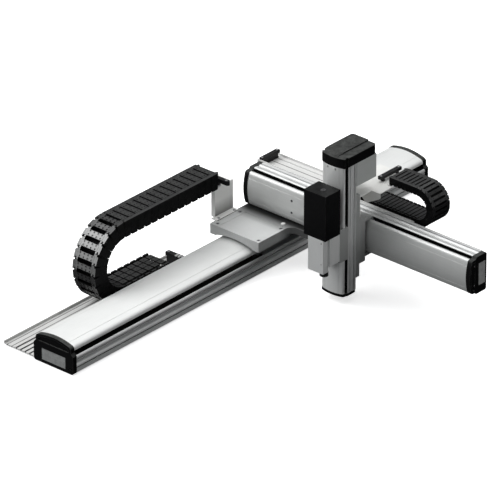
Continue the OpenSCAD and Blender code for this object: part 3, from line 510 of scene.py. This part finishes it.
def link_template(p, w, h, big, bend=0.0, rm=0.0):
    """One drag chain link in (u, w, v): u along the chain, w across it, v outward from the bend.
    In the bend the cheeks are narrower towards its centre, so that neighbours clear each other."""
    bm = bmesh.new()
    ch = 5.5 if big else 3.4       # cheek thickness
    hh = h / 2
    t = 3.6 if big else 2.2        # crossbar thickness
    k = (0.10 if bend else 0.17) * h
    if bend:
        pm, pi_ = bend * rm, bend * (rm - hh)
        outer = [(-0.375 * pi_ + 0.3, -hh), (0.59 * pi_ - 0.3, -hh), (0.60 * pm, 0.0), (0.60 * p, 0.45 * hh), (0.58 * p, hh - 0.5 * k), (0.54 * p, hh), (-0.34 * p, hh), (-0.37 * p, hh - 0.4 * k), (-0.37 * pm, 0.0)]
        ulow = 0.485 * pi_
    else:
        outer = [(-0.375 * p, -hh + k), (-0.34 * p, -hh + 0.25 * k), (-0.28 * p, -hh), (0.41 * p, -hh), (0.45 * p, -hh + 0.25 * k), (0.48 * p, -hh + k), (0.605 * p, -hh + k), (0.615 * p, 0.0), (0.615 * p, hh), (-0.375 * p, hh)]
        ulow = 0.455 * p
    inner = [(-u, v * 0.985 if bend else max(v, -hh + k) * 0.985) for u, v in outer][::-1]
    inner = [c_ for i_, c_ in enumerate(inner) if c_ != inner[i_ - 1]]
    for side in (0, 1):
        def W(x):
            return x if side == 0 else w - x
        a, b = W(0.0), W(ch)
        prism(bm, outer, min(a, b), max(a, b), 0.45 if big else 0.3)
        a, b = W(ch * 0.95), W(ch * 1.95)
        prism(bm, inner, min(a, b), max(a, b), 0.3)
        # pivot ring on the outer face
        disc(bm, 0.33 * p, 0.0, W(0.5), W(0.02), 0.19 * h if big else 0.24 * h, 20, inner=0.09 * h)
    # crossbars, outer and inner side, snapped between the cheeks
    i0, i1 = ch * 1.95 + (1.5 if big else 1.0), w - ch * 1.95 - (1.5 if big else 1.0)
    q = i1 - i0
    utop = ((0.35 if bend else 0.40) if big else 0.37) * p
    if big:
        # full-width outer crossbar with two rows of holes
        holes = [(s * 0.19 * p, i0 + f * q) for s in (-1, 1) for f in (0.14, 0.38, 0.62, 0.86)]
        plate_with_holes(bm, -utop, utop, i0, i1, hh - t, hh - 0.2, holes, 2.8 if bend else 2.0)
        for f0, f1 in ((0.0, 0.305), (0.345, 0.655), (0.695, 1.0)):
            plate_with_holes(bm, -ulow * 0.92, ulow * 0.92, i0 + f0 * q, i0 + f1 * q, -hh + t, -hh + 0.2, [(0.0, i0 + (f0 + f1) / 2 * q)], 2.0)
        prism(bm, [(-0.8 * ulow, -hh + t), (0.8 * ulow, -hh + t), (0.8 * ulow, -hh + 1.6), (-0.8 * ulow, -hh + 1.6)], i0 + 0.02 * q, i0 + 0.98 * q, 0.2)
    else:
        plate_with_holes(bm, -utop, utop, i0, i1, hh - t, hh - 0.1, [(0.0, i0 + f * q) for f in (0.15, 0.5, 0.85)], 1.2, 8)
        plate_with_holes(bm, -ulow * 0.93, ulow * 0.93, i0, i1, -hh + t, -hh + 0.1, [(0.0, i0 + f * q) for f in (0.2, 0.8)], 1.2, 8)
    # lugs that join crossbar and cheek
    for w0 in (ch * 1.9, w - ch * 1.9 - 3.0):
        prism(bm, [(-0.2 * p, hh - t - 3), (0.2 * p, hh - t - 3), (0.24 * p, hh - t + 0.5), (-0.24 * p, hh - t + 0.5)], w0, w0 + 3.0, 0.3)
        prism(bm, [(-0.8 * ulow, -hh + t - 0.5), (0.8 * ulow, -hh + t - 0.5), (0.6 * ulow, -hh + t + 3), (-0.6 * ulow, -hh + t + 3)], w0, w0 + 3.0, 0.3)
    # pads beside the cheeks close the slots at both ends
    ue = 0.485 * bend * (rm + hh) if bend else 0.49 * p
    wp = (5.0 if bend else 1.6) if big else 5.5
    for w0 in (ch * 1.9, w - ch * 1.9 - wp):
        prism(bm, [(-ue + 0.4, hh - t), (ue - 0.4, hh - t), (ue, hh - 0.5), (-ue, hh - 0.5)], w0, w0 + wp, 0.3)
    # horizontal shelf between the cheeks, and the central separator
    us = 0.52 * (bend * rm if bend else p)
    prism(bm, [(-us, 0.02 * h), (us, 0.02 * h), (us, 0.09 * h), (-us, 0.09 * h)], ch * 1.9, w - ch * 1.9, 0.2)
    prism(bm, [(-0.10 * p, -hh + t - 0.4), (0.10 * p, -hh + t - 0.4), (0.10 * p, hh - t + 0.2), (-0.10 * p, hh - t + 0.2)], i0 + 0.48 * q, i0 + 0.52 * q, 0.3)
    bmesh.ops.recalc_face_normals(bm, faces=bm.faces)
    bm.normal_update()
    # side faces and the inside of the link are matt
    for f in bm.faces:
        if max(abs(f.normal.y), abs(f.normal.x)) > 0.6 or max(abs(q_.co.z) for q_ in f.verts) < hh - t + 0.01:
            f.material_index = 1
    me = bpy.data.meshes.new("link_template")
    bm.to_mesh(me)
    bm.free()
    return me


def place_link(name, tmpl, A, W, w0, centre, ang, su, mat="chain", shrink=1.0):
    """Copies the template: A is the slide axis, W the width axis, centre (a, z) in millimetres, ang the bend angle, su the stretch along u."""
    c, s = math.cos(ang), math.sin(ang)
    U = A * (-c) + Vector((0, 0, -s))
    V = A * (-s) + Vector((0, 0, c))
    m = Matrix.Identity(4)
    for i in range(3):
        m[i][0], m[i][1], m[i][2] = U[i] * su * MM, W[i] * MM, V[i] * shrink * MM
        m[i][3] = (A[i] * centre[0] + W[i] * w0 + (centre[1] if i == 2 else 0.0)) * MM
    me = tmpl.copy()
    me.transform(m)
    if m.determinant() < 0:
        me.flip_normals()
    me.name = name
    idx = [f.material_index for f in me.polygons]
    me.materials.clear()
    me.materials.append(M[mat])
    me.materials.append(M["cheek"])
    me.polygons.foreach_set("material_index", idx)
    ob = bpy.data.objects.new(name, me)
    scene.collection.objects.link(ob)
    return ob


def chain_run(tag, node, tmpl, p0, A, W, w0, z, a_start, a_end, n, ang):
    """Straight run of n links from a_start to a_end along A; each link is stretched along the run so that neighbours
    stay joined.
    """
    pitch = (a_end - a_start) / n
    for i in range(n):
        a0 = a_start + i * pitch
        a1 = a0 + pitch
        ob = place_link(f"{tag}_{i + 1:02d}", tmpl, A, W, w0, ((a0 + a1) / 2, z), ang, abs(pitch) / p0, "chain_x" if node[0] == "x" else "chain")
        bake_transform(ob)
        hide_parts(node)


def chain_bend(tag, node, tmpl, A, W, w0, ca, cz, rm, n, body):
    for i in range(n):
        th = math.pi * (i + 0.5) / n
        ob = place_link(f"{tag}_{i + 1:02d}", tmpl, A, W, w0, (ca - rm * math.sin(th), cz + rm * math.cos(th)), th, 1.0, "chain_bend" if node[0] == "x" else "chain")
        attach(ob, body)
        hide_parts(node)


EX, EY = Vector((1, 0, 0)), Vector((0, 1, 0))


def mmbox(node):
    lo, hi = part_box(node)
    return lo * 1000, hi * 1000


# X chain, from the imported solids
lo_u, hi_u = mmbox("x_chain_upper")
lo_l, hi_l = mmbox("x_chain_lower")
h1 = hi_u.z - lo_u.z
w1 = hi_u.y - lo_u.y
R1 = (hi_u.z - lo_l.z) / 2
cx, cz = lo_u.x, (hi_u.z + lo_l.z) / 2
p1 = (hi_u.x - cx) / 14
T1 = link_template(p1, w1, h1, True)
B1 = link_template(p1, w1, h1, True, math.pi / 12, R1 - h1 / 2)
chain_run("x_chain_top_link", "x_chain_upper", T1, p1, EX, EY, lo_u.y, hi_u.z - h1 / 2, cx, hi_u.x, 14, 0.0)
chain_run("x_chain_low_link", "x_chain_lower", T1, p1, EX, EY, lo_u.y, lo_l.z + h1 / 2, hi_l.x, cx, 7, math.pi)
chain_bend("x_chain_bend_link", "x_chain_loop", B1, EX, EY, lo_u.y, cx, cz, R1 - h1 / 2, 12, "x_chain_loop")

# Y chain
lo_u, hi_u = mmbox("y_chain_upper")
lo_l, hi_l = mmbox("y_chain_lower")
h2 = hi_u.z - lo_u.z
w2 = hi_u.x - lo_u.x
R2 = (hi_u.z - lo_l.z) / 2
cy, cz = lo_u.y, (hi_u.z + lo_l.z) / 2
p2 = (hi_u.y - cy) / 7
T2 = link_template(p2, w2, h2, False)
B2 = link_template(p2, w2, h2, False, math.pi / 12, R2 - h2 / 2)
chain_run("y_chain_top_link", "y_chain_upper", T2, p2, EY, EX, lo_u.x, hi_u.z - h2 / 2, cy, hi_u.y, 7, 0.0)
chain_run("y_chain_low_link", "y_chain_lower", T2, p2, EY, EX, lo_u.x, lo_l.z + h2 / 2, hi_l.y, cy, 15, math.pi)
chain_bend("y_chain_bend_link", "y_chain_loop", B2, EY, EX, lo_u.x, cy, cz, R2 - h2 / 2, 12, "y_chain_loop")

# ------------------------------------------------------------------ fasteners and small details
lo, hi = mmbox("base_near_cap")
nx = lo.x
screws("near_cap_screws", "base", [((nx + 2.2, y, 56.5), (-1, 0, 0)) for y in (-36, 36)] + [((nx + 0.9, y, 14), (-1, 0, 0)) for y in (-60, 60)], 3.0, 0.9)
screws("near_plate_screws", "base", [((nx + 0.6, y, 26), (-1, 0, 0)) for y in (-34, 34)], 2.4, 0.6)
fx = mmbox("base_far_cap")[1].x
screws("far_cap_screws", "base", [((fx - 2.2, y, 56.5), (1, 0, 0)) for y in (-36, 36)] + [((fx - 0.9, y, 14), (1, 0, 0)) for y in (-60, 60)], 3.0, 0.9)
screws("x_bar_screws", "base", [((-100, y, 42.6), (0, 0, 1)) for y in (102, 152)], 3.6, 1.8)
screws("x_chain_bar_screws", "x_carriage", [((50.5, y, 223.4), (0, 0, 1)) for y in (78, 164)], 3.4, 1.8)
screws("bracket_screws", "x_carriage", [((x, 84, 116.4), (0, 0, 1)) for x in (26, 90)], 4.2, 2.6)
screws("y_strain_screws", "x_carriage", [((x, 86, 230.6), (0, 0, 1)) for x in (206, 267)], 3.0, 1.6)
screws("y_chain_bar_screws", "y_carriage", [((x, -334, 317.6), (0, 0, 1)) for x in (205, 277)], 3.0, 1.6)
screws("beam_cover_screws", "x_carriage", [((130.4, 86 - 171, z), (-1, 0, 0)) for z in (151, 186.5)], 3.3, 1.3, mat="bearing_block")
oy = mmbox("beam_outer_cap")[0].y
screws("beam_cap_screws", "x_carriage", [((x, oy + 2.2, z), (0, -1, 0)) for x, z in ((150, 140), (150, 198))], 2.6, 1.4)
screws("column_cover_screws", "y_carriage", [((33.6, -308 + d, 401), (-1, 0, 0)) for d in (-13, 13)], 2.4, 1.2, mat="screw")
screws("adapter_screws", "y_carriage", [((86.4, -308 + y, z), (-1, 0, 0)) for y in (-30, 30) for z in (295,)], 3.6, 1.6)
screws("housing_screws", "z_carriage", [((-39.6, -336, z), (-1, 0, 0)) for z in (150, 212)], 2.0, 0.9)


def lathe(bm, at, axis, profile, n=32):
    mt = Matrix.Translation(Vector(at) * MM) @ basis(axis)
    prev = None
    for r, z in profile:
        vs = [bm.verts.new(mt @ (Vector((r * math.cos(2 * math.pi * i / n), r * math.sin(2 * math.pi * i / n), z)) * MM)) for i in range(n)]
        if prev is None:
            bm.faces.new(vs)
        else:
            for i in range(n):
                bm.faces.new((prev[i], prev[(i + 1) % n], vs[(i + 1) % n], vs[i]))
        prev = vs
    bm.faces.new(prev)


bm = bmesh.new()
lathe(bm, (118, -66, 114), (0, 0, 1), [(6.4, 0), (6.4, 2.0), (6.0, 3.0), (5.0, 3.8), (3.4, 4.3), (1.6, 4.5)])
ob = make("plate_button", bm, "button")
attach(ob, "x_carriage")
# round cable connector on top of the head cover
hc = mmbox("head_motor_cover")[1].z
bm = bmesh.new()
lathe(bm, (-12, -318, hc - 0.4), (0, 0, 1), [(7.2, 0), (7.2, 1.2), (6.6, 1.8), (5.4, 1.8), (5.2, 0.9), (2.6, 0.9), (2.4, 1.9), (1.6, 2.3), (0.6, 2.4)])
ob = make("head_connector", bm, "motor")
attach(ob, "z_carriage")
# clamps on the strain-relief bar
for tag, body, spots, ax in (("x_bar_clamps", "base", [(-100, y) for y in (110, 120)], 0),):
    bm = bmesh.new()
    for x, y in spots:
        z0 = 42.9 if ax == 0 else 230.9
        l, b2 = (8.0, 3.0) if ax == 0 else (3.0, 7.0)
        tmp = bmesh.new()
        prism(tmp, [(-l, z0 - 1.2), (l, z0 - 1.2), (l, z0 + 0.9), (l - 1.2, z0 + 1.7), (-l + 1.2, z0 + 1.7), (-l, z0 + 0.9)], -b2, b2, 0.5)
        bmesh.ops.transform(tmp, matrix=Matrix.Translation(Vector((x, y, 0)) * MM) @ Matrix.Scale(MM, 4), verts=tmp.verts)
        me = bpy.data.meshes.new("clamp")
        tmp.to_mesh(me)
        tmp.free()
        bm.from_mesh(me)
        bpy.data.meshes.remove(me)
    ob = make(tag, bm, "tray")
    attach(ob, body)

# ------------------------------------------------------------------ floor
bpy.ops.mesh.primitive_plane_add(size=60, location=(0, 0, -0.0006))
floor = bpy.context.object
floor.name = "floor"
m, nt, b = new_mat("pale_floor")
tc = nt.nodes.new("ShaderNodeTexCoord")
fn = noise(nt, tc.outputs["Object"], 1.5, 2.0)
link(nt, mixc(nt, fn, (0.90, 0.90, 0.90), (0.93, 0.93, 0.93)), b.inputs["Base Color"])
b.inputs["Roughness"].default_value = 0.8
b.inputs["Specular IOR Level"].default_value = 0.1
b.inputs["Emission Color"].default_value = (1.0, 1.0, 1.0, 1.0)
b.inputs["Emission Strength"].default_value = 0.62
floor.data.materials.append(m)
floor.visible_glossy = False
floor.visible_diffuse = False

bpy.context.view_layer.update()
